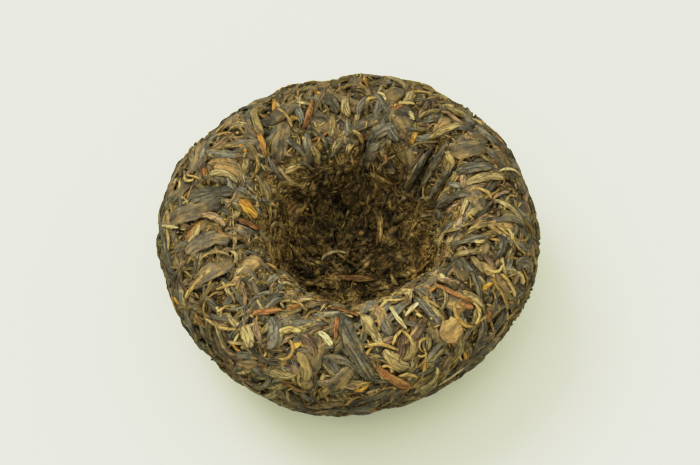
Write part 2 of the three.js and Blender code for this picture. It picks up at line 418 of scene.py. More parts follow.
# Spreads the leaves' middles over the skin, and draws each leaf's course, size and form
def scatterPoints(g, given, skin, position):
    spacing = given["Spacing"]
    x, y, z = g.split(position)
    away = g.length(g.combine(x, y, 0.0))
    fromRadius, toRadius, leastHeight = laying["hollow"]
    inHollow = g.times(g.remap(away, fromRadius, toRadius), g.math("GREATER_THAN", z, leastHeight))
    points = g.out("GeometryNodeDistributePointsOnFaces", {
        "Mesh": skin,
        "Distance Min": spacing,
        "Density Max": g.over(laying["crowd"], g.times(spacing, spacing)),
        "Density Factor": g.out("ShaderNodeMix", {"Factor": inHollow, "A": given["Outside"], "B": 1.0}),
        "Seed": given["Seed"],
    }, distribute_method="POISSON")
    draws = iter(range(1, 9))

    def draw(low, high, kind="FLOAT"):
        seed = g.timesPlus(given["Seed"], laying["seedStep"], float(next(draws)))
        return g.out("FunctionNodeRandomValue", {"Min": low, "Max": high, "Seed": seed}, data_type=kind)

    def eitherWay(most):
        return draw(g.times(most, -1.0), most)

    outside = g.remap(away, *laying["flankAt"], laying["radialTurn"], 0.0)
    wave = g.minus(g.noise(position, 1 / laying["swirlPitch"]), 0.5)
    calm = g.timesPlus(inHollow, laying["calm"] - 1, 1.0)
    turn = g.timesPlus(g.times(wave, calm), laying["swirl"], outside)
    turn = g.plus(turn, eitherWay(given["Spread"]))
    around = g.normal(g.combine(g.times(y, -1.0), x, 0.0))
    heading = g.out("ShaderNodeVectorRotate", {"Vector": around, "Axis": g.read("layNormal"), "Angle": turn})
    bent = g.times(eitherWay(given["Bend"]), draw(laying["leastBent"], 1.0))
    shape = g.combine(bent, eitherWay(given["Twist"]), draw(0.0, 2 * math.pi))
    whole = (1.0, 1.0, 1.0)
    smaller = g.scale(g.vector("SUBTRACT", laying["small"], whole), g.times(inHollow, given["Shrink"]))
    size = draw(given["Smallest"], given["Largest"], "FLOAT_VECTOR")
    size = g.vector("MULTIPLY", size, g.move(smaller, whole))
    level = g.timesPlus(inHollow, -laying["sunk"], draw(given["Lowest"], given["Highest"]))
    level = g.combine(level, draw(0.0, 1.0), given["Curl"])
    for name, value in dict(layHeading=heading, laySize=size, layShape=shape, layLevel=level).items():
        points = g.store(points, name, value)
    join = g.add("GeometryNodeJoinGeometry")
    for part in (g.meshOf(given["Landmarks"]), points):
        g.tree.links.new(part, join.inputs[0])
    return join.outputs[0]


# Puts a leaf form at each point, and keeps for each of its corners where it is in the form
def placeForms(g, given, points, position):
    form = g.store(g.meshOf(given["Leaf Form"]), "layForm", position)
    points = g.store(points, "layAt", position)
    placed = g.out("GeometryNodeInstanceOnPoints", {"Points": points, "Instance": form})
    number = g.out("GeometryNodeInputIndex")
    sizes = g.add("GeometryNodeAttributeDomainSize", (placed,), component="INSTANCES").outputs
    placed = g.store(placed, "layNumber", g.combine(number, sizes["Instance Count"], 0.0), domain="INSTANCE")
    return g.out("GeometryNodeRealizeInstances", {"Geometry": placed})


def onSkin(g, skin, place):
    values = {"Mesh": skin, "Sample Position": place}
    position = g.out("GeometryNodeInputPosition")
    found = [
        g.out("GeometryNodeSampleNearestSurface", {**values, "Value": value}, data_type="FLOAT_VECTOR")
        for value in (position, g.read("layNormal"))
    ]
    return found[0], g.normal(found[1])


# Walks from each leaf's middle over the skin, forwards or back by each corner's own share of its length
def walkOverSkin(g, skin, leaves, position):
    start, end = (g.tree.nodes.new("GeometryNodeRepeat" + name) for name in ("Input", "Output"))
    start.pair_with_output(end)
    start.inputs["Iterations"].default_value = laying["steps"]
    g.tree.links.new(leaves, start.inputs["Geometry"])
    length = g.parts("laySize")[0]
    share = g.minus(g.parts("layForm")[0], 0.5)
    stride = g.over(g.times(share, length), float(laying["steps"]))
    along = g.over(g.times(start.outputs["Iteration"], stride), laying["curlPitch"])
    number = g.parts("layNumber")[0]
    curl = g.noise(g.combine(along, g.times(number, laying["noiseStep"]["curl"]), 0.0), 1.0)
    curl = g.times(g.minus(curl, 0.5), g.parts("layLevel")[2])
    turn = g.times(g.plus(g.parts("layShape")[0], curl), stride)
    place, normal = onSkin(g, skin, g.read("layAt"))
    heading = g.out("ShaderNodeVectorRotate", {"Vector": g.read("layHeading"), "Axis": normal, "Angle": turn})
    sunk = g.scale(normal, g.vector("DOT_PRODUCT", heading, normal))
    heading = g.normal(g.vector("SUBTRACT", heading, sunk))
    walked = g.store(start.outputs["Geometry"], "layHeading", heading)
    walked = g.store(walked, "layAt", g.move(place, g.scale(g.read("layHeading"), stride)))
    g.tree.links.new(walked, end.inputs["Geometry"])
    return end.outputs["Geometry"]


# Gives each leaf its width, ridges and level, and presses what stands too high
def shapeLeaves(g, given, skin, leaves, position):
    s, y, z = g.parts("layForm")
    length, width, thick = g.parts("laySize")
    _, twist, phase = g.parts("layShape")
    level, tint, _ = g.parts("layLevel")
    number = g.parts("layNumber")[0]
    step = laying["noiseStep"]
    alongEdge = g.times(s, laying["outlineWaves"])
    outline = g.combine(alongEdge, g.times(number, step["outline"]), g.math("SIGN", y))
    outline = g.remap(g.noise(outline, 1.0, laying["outlineDetail"]), *laying["outlineBand"])
    angle = g.timesPlus(g.math("ARCTAN2", z, y), laying["lobes"], phase)
    angle = g.plus(angle, g.times(s, twist))
    ridged = g.timesPlus(g.math("COSINE", angle), given["Ridge"], 1.0)
    half = g.times(g.times(width, outline), ridged)
    place, normal = onSkin(g, skin, g.read("layAt"))
    beside = g.vector("CROSS_PRODUCT", normal, g.read("layHeading"))
    place = g.move(place, g.scale(beside, g.times(y, half)))
    place, normal = onSkin(g, skin, place)

    middleness = g.times(g.minus(s, 0.5), 2.0)
    dip = g.times(g.times(middleness, middleness), given["Dip"])
    wave = g.combine(g.times(s, laying["levelWaves"]), g.times(number, step["wave"]), 5.0)
    wave = g.times(g.minus(g.noise(wave, 1.0), 0.5), thick)
    rise = g.times(g.times(z, thick), g.times(ridged, 0.5))
    height = g.plus(g.plus(g.minus(level, dip), wave), rise)
    lump = g.minus(g.noise(place, 1 / laying["lumpPitch"]), 0.5)
    top = g.timesPlus(lump, laying["lumps"], laying["pressedTop"])
    above = g.times(g.minus(height, top), laying["pressedShare"])
    pressed = g.math("SMOOTH_MIN", height, g.plus(top, above), laying["pressedSoft"])
    place = g.move(place, g.scale(normal, pressed))
    lowest = g.timesPlus(tint, laying["restLevel"][1], laying["restLevel"][0])
    placeX, placeY, placeZ = g.split(place)
    place = g.combine(placeX, placeY, g.math("MAXIMUM", placeZ, lowest))

    across = g.times(g.times(y, width), 0.5 / mm)
    along = g.times(g.times(s, length), 1 / mm)
    # how deep a spot lies under the pressed top, for painted shade between the leaves
    depth = g.remap(pressed, laying["lowest"], laying["pressedTop"])
    leaves = g.store(leaves, "leafPlace", g.combine(along, across, tint))
    leaves = g.store(leaves, "leafShape", g.combine(s, g.math("ABSOLUTE", y), depth))
    return g.out("GeometryNodeSetPosition", {"Geometry": leaves, "Position": place})


# Gives each leaf a cell of its own in the bake map
def packMap(g, leaves):
    number, count, _ = g.parts("layNumber")
    columns = g.math("CEIL", g.math("SQRT", count))
    column = g.math("MODULO", number, columns)
    row = g.math("FLOOR", g.over(number, columns))
    margin = laying["margin"]
    inCell = g.vector("MULTIPLY_ADD", g.read("OFBake"), (1 - 2 * margin,) * 3, (margin,) * 3)
    places = g.move(inCell, g.combine(column, row, 0.0))
    places = g.scale(places, g.over(1.0, columns))
    return g.store(leaves, "OFBake", places, kind="FLOAT2", domain="CORNER")


# "Edge Share" is edgeShare in the dictionaries
def socketKey(socket):
    return socket.name[0].lower() + socket.name[1:].replace(" ", "")


def inMetres(values):
    for key in ("spacing", "smallest", "largest", "lowest", "highest", "dip"):
        values[key] = np.multiply(values[key], mm).tolist()
    values["spread"] = math.radians(values["spread"])
    return values


def setInputs(modifier, values):
    for socket in modifier.node_group.interface.items_tree:
        value = values.get(socketKey(socket))
        if value is not None:
            modifier[socket.identifier] = float(value) if socket.socket_type == "NodeSocketFloat" else value


forms = dict(
    leaf=dict(sides=8, rings=10, blunt=2.4),
    flake=dict(sides=10, rings=8, blunt=3),
    stem=dict(sides=5, rings=12, blunt=6),
    bud=dict(sides=7, rings=8, blunt=2.2),
    crumb=dict(sides=5, rings=4, blunt=3),
)

# The kinds of leaf. Sizes are length, width and thickness in millimetres. Outside is the share that is kept
# outside the hollow, and shrink makes leaves inside it smaller. Bend is the most turn for each metre, curl
# the bends that change along a leaf, twist the most turn of its ridges. Lowest and highest are where its
# middle lies from the skin, dip is how far its ends dive, and spread how many degrees it may turn.
# Contrast sets the fibres' tone and the painted shade in the folds.
# Dust is a kind's share of the hollow's dust colour and of the hollow's painted shade and light.
# Edge colours the pale margins and, as a painted highlight, the folds' ridges.
usualKind = dict(
    form="leaf", outside=1.0, shrink=1.0, twist=5.0, ridge=0.25, dip=0.7,
    edgeShare=0.4, contrast=0.5, foldPitch=0.9, dust=0.7, stain=0.45,
)

kinds = dict(
    dark_leaves=dict(
        slot="dark_leaf", seed=3, spacing=2.85, smallest=(6, 0.9, 0.8), largest=(14, 2.6, 1.6),
        bend=80, curl=1400, lowest=-1.1, highest=-0.1, spread=50,
        dark=(0.09, 0.079, 0.05), middle=(0.146, 0.131, 0.086), light=(0.236, 0.216, 0.146),
        edge=(0.46, 0.37, 0.17), stain=0.2, smooth=0.46, rough=0.66,
    ),
    olive_leaves=dict(
        slot="olive_leaf", seed=5, spacing=2.85, smallest=(5, 0.7, 0.7), largest=(12, 2.2, 1.4),
        bend=100, curl=1800, lowest=-1.0, highest=-0.1, spread=55,
        dark=(0.165, 0.122, 0.048), middle=(0.285, 0.222, 0.092), light=(0.43, 0.342, 0.156),
        edge=(0.54, 0.42, 0.155), edgeShare=0.5, smooth=0.48, rough=0.7,
    ),
    brown_leaves=dict(
        slot="dark_leaf", seed=7, spacing=3.1, smallest=(5, 0.8, 0.7), largest=(11, 2.3, 1.4),
        bend=90, curl=1600, lowest=-1.1, highest=-0.1, spread=60,
        dark=(0.118, 0.076, 0.041), middle=(0.215, 0.145, 0.078), light=(0.33, 0.23, 0.125),
        edge=(0.52, 0.36, 0.15), edgeShare=0.45, smooth=0.5, rough=0.72,
    ),
    golden_stems=dict(
        form="stem", slot="golden_stem", seed=11, spacing=3.4,
        smallest=(3, 0.3, 0.35), largest=(9, 0.85, 0.8),
        bend=190, curl=3000, twist=2.0, ridge=0.08, lowest=-0.7, highest=0.2, dip=0.6, spread=75,
        dark=(0.24, 0.15, 0.04), middle=(0.385, 0.255, 0.075), light=(0.5, 0.365, 0.13),
        edge=(0.56, 0.42, 0.16), contrast=0.4, dust=0.3, smooth=0.42, rough=0.6,
    ),
    rust_leaves=dict(
        slot="rust_leaf", seed=13, spacing=6.4, smallest=(3, 0.7, 0.5), largest=(8, 1.5, 1.0),
        bend=110, curl=1800, twist=3.0, ridge=0.16, lowest=-0.7, highest=0.05, dip=0.5, spread=75,
        dark=(0.16, 0.072, 0.032), middle=(0.33, 0.15, 0.05), light=(0.6, 0.35, 0.055),
        edge=(0.58, 0.36, 0.11), contrast=0.45, dust=0.2, smooth=0.48, rough=0.68,
    ),
    pale_buds=dict(
        form="bud", slot="pale_bud", seed=17, spacing=8.5, smallest=(1.6, 0.4, 0.5), largest=(5, 1.0, 0.9),
        bend=240, curl=2500, twist=2.0, ridge=0.1, lowest=-0.4, highest=0.2, dip=0.4, spread=90,
        dark=(0.3, 0.23, 0.09), middle=(0.46, 0.36, 0.14), light=(0.62, 0.52, 0.26),
        edge=(0.62, 0.5, 0.24), edgeShare=0.3, contrast=0.45, dust=0.15, foldPitch=0.8,
        smooth=0.55, rough=0.75,
    ),
    leaf_flakes=dict(
        form="flake", slot="dark_leaf", seed=19, spacing=6.6,
        smallest=(5, 2.4, 0.4), largest=(11, 4.6, 0.8),
        bend=20, curl=200, twist=1.5, ridge=0.16, lowest=-0.55, highest=0.1, dip=0.4, spread=90,
        dark=(0.105, 0.086, 0.052), middle=(0.18, 0.145, 0.088), light=(0.4, 0.27, 0.1),
        edge=(0.45, 0.33, 0.15), edgeShare=0.5, contrast=0.35, foldPitch=2.4, smooth=0.44, rough=0.64,
    ),
    leaf_crumbs=dict(
        form="crumb", slot="olive_leaf", seed=23, spacing=1.3, outside=0.65, shrink=0.0,
        smallest=(0.5, 0.3, 0.3), largest=(2.2, 1.0, 0.8),
        bend=60, curl=0, twist=1.0, ridge=0.12, lowest=-0.6, highest=0.12, dip=0.0, spread=90,
        dark=(0.12, 0.08, 0.032), middle=(0.29, 0.21, 0.078), light=(0.46, 0.345, 0.136),
        edge=(0.5, 0.38, 0.165), edgeShare=0.3, contrast=0.4, dust=0.5, smooth=0.5, rough=0.75,
    ),
)

# Single leaves that catch the eye: width in millimetres, tint, and x and y in the picture, in pixels, of the
# leaf's first end, its middle and its last end
landmarks = dict(
    pale_buds=(
        (1, 0.9, 324, 260, 332, 252.6, 350, 252.4), (1.3, 0.6, 268.6, 229, 276.5, 223.5, 283, 233),
        (1.9, 0.1, 312, 145.5, 316, 155, 319.5, 165), (0.8, 0.7, 296.7, 103, 303.5, 104, 310.7, 105.5),
        (0.9, 0.8, 377, 93, 383, 96, 386, 101), (0.9, 0.5, 398.7, 104, 407, 103.5, 415, 105),
        (1.9, 0.3, 428, 139, 444, 130, 461, 125), (0.9, 0.8, 498, 172.5, 508, 169.8, 517, 173.5),
        (1, 0.4, 443, 235, 451, 231.5, 459, 230), (1, 0.4, 391, 274, 394, 281, 398.7, 285.8),
        (1.7, 0.35, 273.4, 346, 283, 331.5, 305, 330), (1.6, 1, 318, 332, 326, 338, 332, 346),
        (1, 1, 389, 307, 397, 318, 406, 328.5), (1.1, 0.9, 418, 303.6, 412, 310, 405, 317.7),
        (1.2, 0.7, 420, 386, 433, 379, 438, 364), (0.8, 0.8, 437, 385, 450, 375, 463, 366),
        (0.9, 0.9, 164, 226.5, 171, 227, 181, 228.5), (0.8, 0.05, 202, 261, 214, 253, 234, 257),
        (0.8, 0.6, 299, 303, 308, 301, 317, 302), (1, 0.5, 167, 228, 170, 238, 170, 250),
        (0.9, 0.4, 229, 252, 236, 257, 234, 265), (1, 0.7, 473, 241, 479, 243, 484, 241),
        (1.2, 0.8, 440, 275, 442, 277, 444, 279), (1.1, 0.8, 410, 111, 412, 116, 415, 120),
    ),
    golden_stems=(
        (1.6, 0.9, 184, 302, 203, 277, 229, 267), (1, 0.7, 277, 108, 286, 116, 292, 127),
        (1, 0.6, 366, 347, 382, 345, 402, 351), (0.9, 0.8, 392, 346, 395.5, 337, 401, 331),
        (0.9, 0.6, 401, 331, 409, 337, 413, 348), (0.9, 0.5, 289, 341, 292, 354, 278, 361),
        (1.1, 0.5, 450, 298, 458, 320, 471, 324), (1.2, 0.8, 473, 302, 479, 313, 475, 324),
        (1.4, 0.8, 500, 274, 509, 285, 514, 297), (1.2, 0.3, 490, 279, 501, 294, 507, 311),
        (1.1, 0.9, 400, 376, 409, 373.5, 420, 377), (0.9, 0.8, 382, 367, 389, 366, 392, 373),
        (1, 0.6, 474, 190, 485, 191.5, 492, 200), (1.1, 0.5, 437, 197, 441, 189, 448, 185),
        (0.6, 0.7, 511, 230, 515, 246, 524, 252), (0.9, 0.8, 185, 175, 187, 181, 193, 181),
        (1.4, 0.9, 352, 130, 359, 136, 362, 143),
    ),
    rust_leaves=(
        (1.4, 0.8, 359, 232, 361.5, 233.5, 364, 234), (3, 0.8, 240, 200, 248, 209, 257, 218),
        (1.8, 0.3, 239, 221, 250, 226, 261, 230), (1.3, 0.6, 258, 132, 262, 144, 265, 158),
        (1.2, 0.1, 303, 130, 309, 114, 313, 98), (1, 0.5, 417, 274, 425, 267, 432, 259),
        (1.5, 0.4, 336, 276, 355, 279, 375, 281), (1, 0.4, 338, 317, 336.5, 328, 336, 339),
        (1, 0.2, 330, 309, 345, 312.5, 359, 317), (1.9, 0.5, 379, 370, 395, 380, 415, 388),
        (1, 0.5, 433, 284, 452, 294, 473, 302), (1, 0.5, 458, 304, 466, 306, 473, 308),
        (1.4, 0.45, 252, 315, 267, 312, 282, 311), (0.7, 0.3, 216, 226, 222, 234, 231, 237),
        (0.6, 0.3, 304, 129, 309, 117, 312, 108),
    ),
    olive_leaves=(
        (2.7, 0.95, 243, 327, 248, 336, 250, 349), (2.2, 0.6, 361, 311, 370, 329, 381, 342),
        (2.4, 0.9, 386, 350, 395, 362, 411, 367), (2, 0.7, 464, 186, 484, 178, 507, 179),
        (1.8, 0.6, 445, 153, 452, 162, 447, 174), (1.2, 0.85, 491, 199, 511, 209, 523, 224),
        (1.2, 0.8, 187, 246, 195, 235, 200, 226), (1.6, 1, 211, 176, 224, 174, 240, 184),
        (1.8, 0.5, 255, 107, 255, 120, 262, 135), (1.8, 0.7, 347, 97, 345, 107, 350, 116),
        (1.6, 0.95, 302, 167, 292, 169, 285, 173), (2.2, 0.5, 298, 356, 306, 366, 306, 384),
    ),
    dark_leaves=(
        (3.3, 0.2, 343, 317, 353, 346, 377, 394), (3.4, 0.25, 188, 199, 210, 196, 236, 190),
        (2.2, 0.15, 443, 147, 428, 176, 412, 206), (1.9, 0.25, 432, 148, 416, 172, 402, 196),
        (2, 0.35, 456, 166, 442, 182, 431, 199), (2.4, 0.65, 379, 142, 369, 158, 362, 176),
        (2.6, 0.55, 270, 320, 277, 333, 268, 352), (1.4, 0.25, 325, 358, 345, 361, 366, 376),
        (2.4, 0.45, 455, 174, 473, 168, 495, 168), (2.2, 0.35, 436, 208, 453, 198, 469, 194),
        (1.6, 0.5, 495, 222, 511, 219, 524, 227), (2.4, 0.25, 515, 270, 524, 262, 527, 274),
        (1.8, 0.45, 453, 248, 469, 241, 484, 237), (2.2, 0.2, 325, 92, 332, 102, 337, 112),
        (2.8, 0.45, 367, 142, 380, 132, 395, 127), (2, 0.35, 390, 123, 392, 133, 398, 143),
    ),
    brown_leaves=(
        (1.8, 0.8, 196, 215, 213, 217, 224, 226), (2, 0.3, 300, 334, 310, 344, 316, 356),
    ),
    leaf_flakes=(
        (5, 0.1, 170, 221, 194, 212, 223, 200), (4.5, 0.35, 186, 252, 206, 242, 232, 240),
        (4, 0.4, 196, 282, 213, 272, 236, 262), (4.6, 0.1, 452, 150, 468, 150, 486, 146),
        (5, 1, 443, 340, 451, 331, 460, 322), (2.8, 0.1, 329, 387, 341, 378, 355, 366),
    ),
)

landmark = dict(level=0.75 * mm, twist=1, straight=20)  # straight: no arc past so many half lengths of radius


# A landmark is laid as the others are, from a point at its middle that holds its course, size and bend
def landmarkPoints(kindName, thickest, camera, tree):
    turn, start = camera.matrix_world.to_3x3(), camera.matrix_world.translation
    width, height = view["frame"]

    def onLeaves(x, y):
        return tree.ray_cast(start, turn @ Vector((x - width / 2, height / 2 - y, -view["focalPixels"])))[:2]

    rows = []
    for across, tint, *places in landmarks.get(kindName, ()):
        (first, _), (middle, normal), (last, _) = map(onLeaves, places[::2], places[1::2])
        chord = last - first
        heading = chord.normalized()
        off = middle - (first + last) / 2
        bow = off.dot(normal.cross(heading))
        half = chord.length / 2
        radius = (half * half + bow * bow) / (2 * abs(bow) + 1e-9)
        arc = 2 * radius * math.asin(min(1, half / radius))
        length = chord.length if radius > landmark["straight"] * half else arc
        if abs(bow) > half:
            length = 2 * math.pi * radius - length
        bend = -math.copysign(1 / radius, bow)
        size = (length, across * mm, min(across * mm, thickest))
        rows.append((middle, heading, size, (bend, landmark["twist"], 0), (landmark["level"], tint, 0)))
    mesh = bpy.data.meshes.new(kindName + " landmarks")
    mesh.from_pydata([row[0] for row in rows], [], [])
    for i, name in enumerate(("layHeading", "laySize", "layShape", "layLevel"), start=1):
        values = np.array([row[i] for row in rows], np.float32).ravel()
        mesh.attributes.new(name, "FLOAT_VECTOR", "POINT").data.foreach_set("vector", values)
    return addObject(kindName + " landmarks", mesh)


# Where the cake is dusty, and where shade and light are painted on it. Pairs are radius or height: from, to.
hollow = dict(
    darkDust=(0.115, 0.070, 0.026),
    paleDust=(0.72, 0.49, 0.145),
    dustLumps=(1.7 * mm, 2.0, 0.40, 0.62),  # pitch, detail, band
    dustShift=(2 * mm, -1 * mm, 0),
    dustAt=(17 * mm, 21 * mm),  # radius where the dust ends
    lowAt=(27 * mm, 36 * mm),  # and height
    floorAt=(8 * mm, 11 * mm),  # what is lower belongs to the dome
    wobble=(5 * mm, 0.6),  # of bearings: pitch, and turn in radians
    creaseAt=(20 * mm, 26 * mm),  # painted shade: creases are darker on the wall alone
    creaseFrom=(18 * mm, 27 * mm),
    creaseShare=0.3,
    patchSize=(4 * mm, 4 * mm, 9 * mm),  # shadows between lumps of the wall
    patchBand=(0.42, 0.54),
    patchShare=0.66,
    darkBearing=98,  # painted shade: the darkest part of the wall: bearing, half width, in degrees
    darkWidth=(10, 42),
    darkShare=0.55,
    wallAt=(21 * mm, 27 * mm),  # painted light: the wall is paler near the rim
    wallFrom=(15 * mm, 24 * mm),
    wallLift=0.6,
    flankAt=(26 * mm, 40 * mm),  # painted shade: the flank is darker towards the foot
    flankLight=0.45,
    leftAt=(-38 * mm, -6 * mm),  # and more so on the left
    leftDull=0.3,
    insideAt=(26 * mm, 30 * mm),  # but hardly in the hollow
    insideLight=0.78,
)


# Dust by place on the cake, and painted shade and light by place, for the leaves and the core alike
def hollowShadeGroup():
    outputs = {"Dust": "Float", "Dust Color": "Color", "Shade": "Float", "Flank": "Float"}
    g, _ = newGroup("hollow shade", "ShaderNodeTree", OUTPUT=outputs)
    h = hollow
    middle = restMiddle() + (pressing["hollowShift"], 0, 0)
    place = g.add("ShaderNodeTexCoord").outputs["Object"]
    left, _, z = g.split(place)
    x, y, _ = g.split(g.vector("SUBTRACT", place, tuple(middle)))
    flat = g.combine(x, y, 0.0)
    away = g.length(flat)
    aboveFloor = g.remap(z, *h["floorAt"])

    dust = g.remap(g.length(g.move(flat, h["dustShift"])), *h["dustAt"], 1.0, 0.0)
    dust = g.times(dust, g.times(g.remap(z, *h["lowAt"], 1.0, 0.0), aboveFloor))
    lump = g.cloud(place, *h["dustLumps"])
    dark, pale = h["darkDust"], h["paleDust"]
    dustColour = g.vector("MULTIPLY_ADD", g.vector("SUBTRACT", pale, dark), g.combine(lump, lump, lump), dark)

    wobblePitch, wobble = h["wobble"]
    turned = g.minus(g.noise(place, 1 / wobblePitch, 2.0), 0.5)
    bearing = g.timesPlus(turned, wobble, g.math("ARCTAN2", y, x))
    # painted shade: darker in the wall's creases
    crease = 1.0
    for turn, halfWidth, _ in pressing["pleats"]:
        apart = g.math("ABSOLUTE", g.minus(bearing, math.radians((turn + 180) % 360 - 180)))
        crease = g.math("MINIMUM", crease, g.remap(apart, 0.0, math.radians(halfWidth), smooth=True))
    wall = g.remap(z, *h["creaseFrom"], 0.0, h["creaseShare"])
    wall = g.times(g.remap(away, *h["creaseAt"], 1.0, 0.0), wall)
    patch = g.noise(g.vector("DIVIDE", place, h["patchSize"]), 1.0, 2.0)
    # painted shade on the back wall, by bearing
    back = g.math("ABSOLUTE", g.minus(bearing, math.radians(h["darkBearing"])))
    # painted light on the upper wall
    shade = g.times(g.remap(away, *h["wallAt"], 1.0, 0.0), g.remap(z, *h["wallFrom"]))
    shade = g.timesPlus(shade, h["wallLift"], 1.0)
    # painted shade in the creases, painted shadows between the wall's lumps, and painted shade on the back
    # wall
    for share, light in (
        (wall, crease),
        (g.times(dust, h["patchShare"]), g.remap(patch, *h["patchBand"])),
        (g.times(dust, h["darkShare"]), g.remap(back, *map(math.radians, h["darkWidth"]))),
    ):
        shade = g.times(shade, g.timesPlus(share, g.minus(light, 1.0), 1.0))

    # painted shade: the flank darker towards the foot and more so on the left, the hollow a little darker
    inside = g.times(g.remap(away, *h["insideAt"], h["insideLight"], 0.0), aboveFloor)
    moreShadeOnLeft = g.remap(left, *h["leftAt"], 1 + h["leftDull"], 1.0)
    flankShade = g.minus(g.remap(z, *h["flankAt"], h["flankLight"], 1.0), 1.0)
    flankShade = g.math("MAXIMUM", g.timesPlus(flankShade, moreShadeOnLeft, 1.0), inside)
    # Dust: the hollow's dust, which also bounds its painted shade. Shade: painted shade and light. The flank
    # output: painted shade of the flank
    g.give({"Dust": dust, "Dust Color": dustColour, "Shade": shade, "Flank": flankShade})
    return g.tree


# Pattern of all leaf matter. Folds, fibres and streaks: pitch across in mm, stretch along, detail.
finish = dict(
    leafStep=977.0,  # tells the leaves' patterns apart
    folds=(5.0, 1.0),  # their pitch is each kind's own
    # painted shade along the folds' crease lines, this wide
    foldLine=0.09,
    # the folds' ridges take the edge colour as a painted highlight
    ridgeLine=(0.16, 0.24),
    fibres=(0.33, 8.0, 2.0),
    fibreBand=(0.3, 0.7),
    streaks=(1.6, 2.4, 2.0),
    streakShare=1.1,
    rimAt=(0.6, 0.95),  # shares of the half width
    rimFibres=(0.2, 0.8),
    mottle=(0.8 * mm, 3.0, 0.35, 0.65),  # pitch, detail, band
    stain=(2.6 * mm, 3.0, 0.46, 0.6),
    pits=(0.7 * mm, 1.0, 0.3, 0.4),
    pitShift=(0.1, 0.2, 0.3),
    middleAt=(0.05, 0.5),  # shades that turn dark to middle, and middle to light
    lightAt=(0.5, 0.98),
    stainColour=(0.34, 0.235, 0.075, 1),
    creaseDust=1.4,  # a kind takes this many times its dust share of the hollow's painted shade and light
    fibreContrast=0.6,
    # painted shade: the pits, sunk in the bump, are this much darker
    pitLight=0.7,
    mottleLight=(0.83, 1.16),
    depthAt=(0.2, 0.9),
    depthLight=(0.46, 0.12, 1.05),  # painted shade between the leaves: light of the deepest, how much less shade in the hollow, and of the topmost
    sideAt=(-40 * mm, 40 * mm),  # painted light: the near side is lighter than the far one
    sideLight=(1.07, 0.85),
    fibreGloss=-0.12,
    heights=(0.6, 0.25, 0.15, 0.2),  # of the bump: folds, fibres, mottle, pits
    bumpDepth=0.3 * mm,
    bumpStrength=0.9,
    specular=0.12,
)

leafSockets = dict.fromkeys(("Dark", "Middle", "Light", "Edge"), "Color") | dict.fromkeys(
    ("Edge Share", "Fold Pitch", "Dust", "Stain", "Contrast", "Smooth", "Rough"), "Float",
)


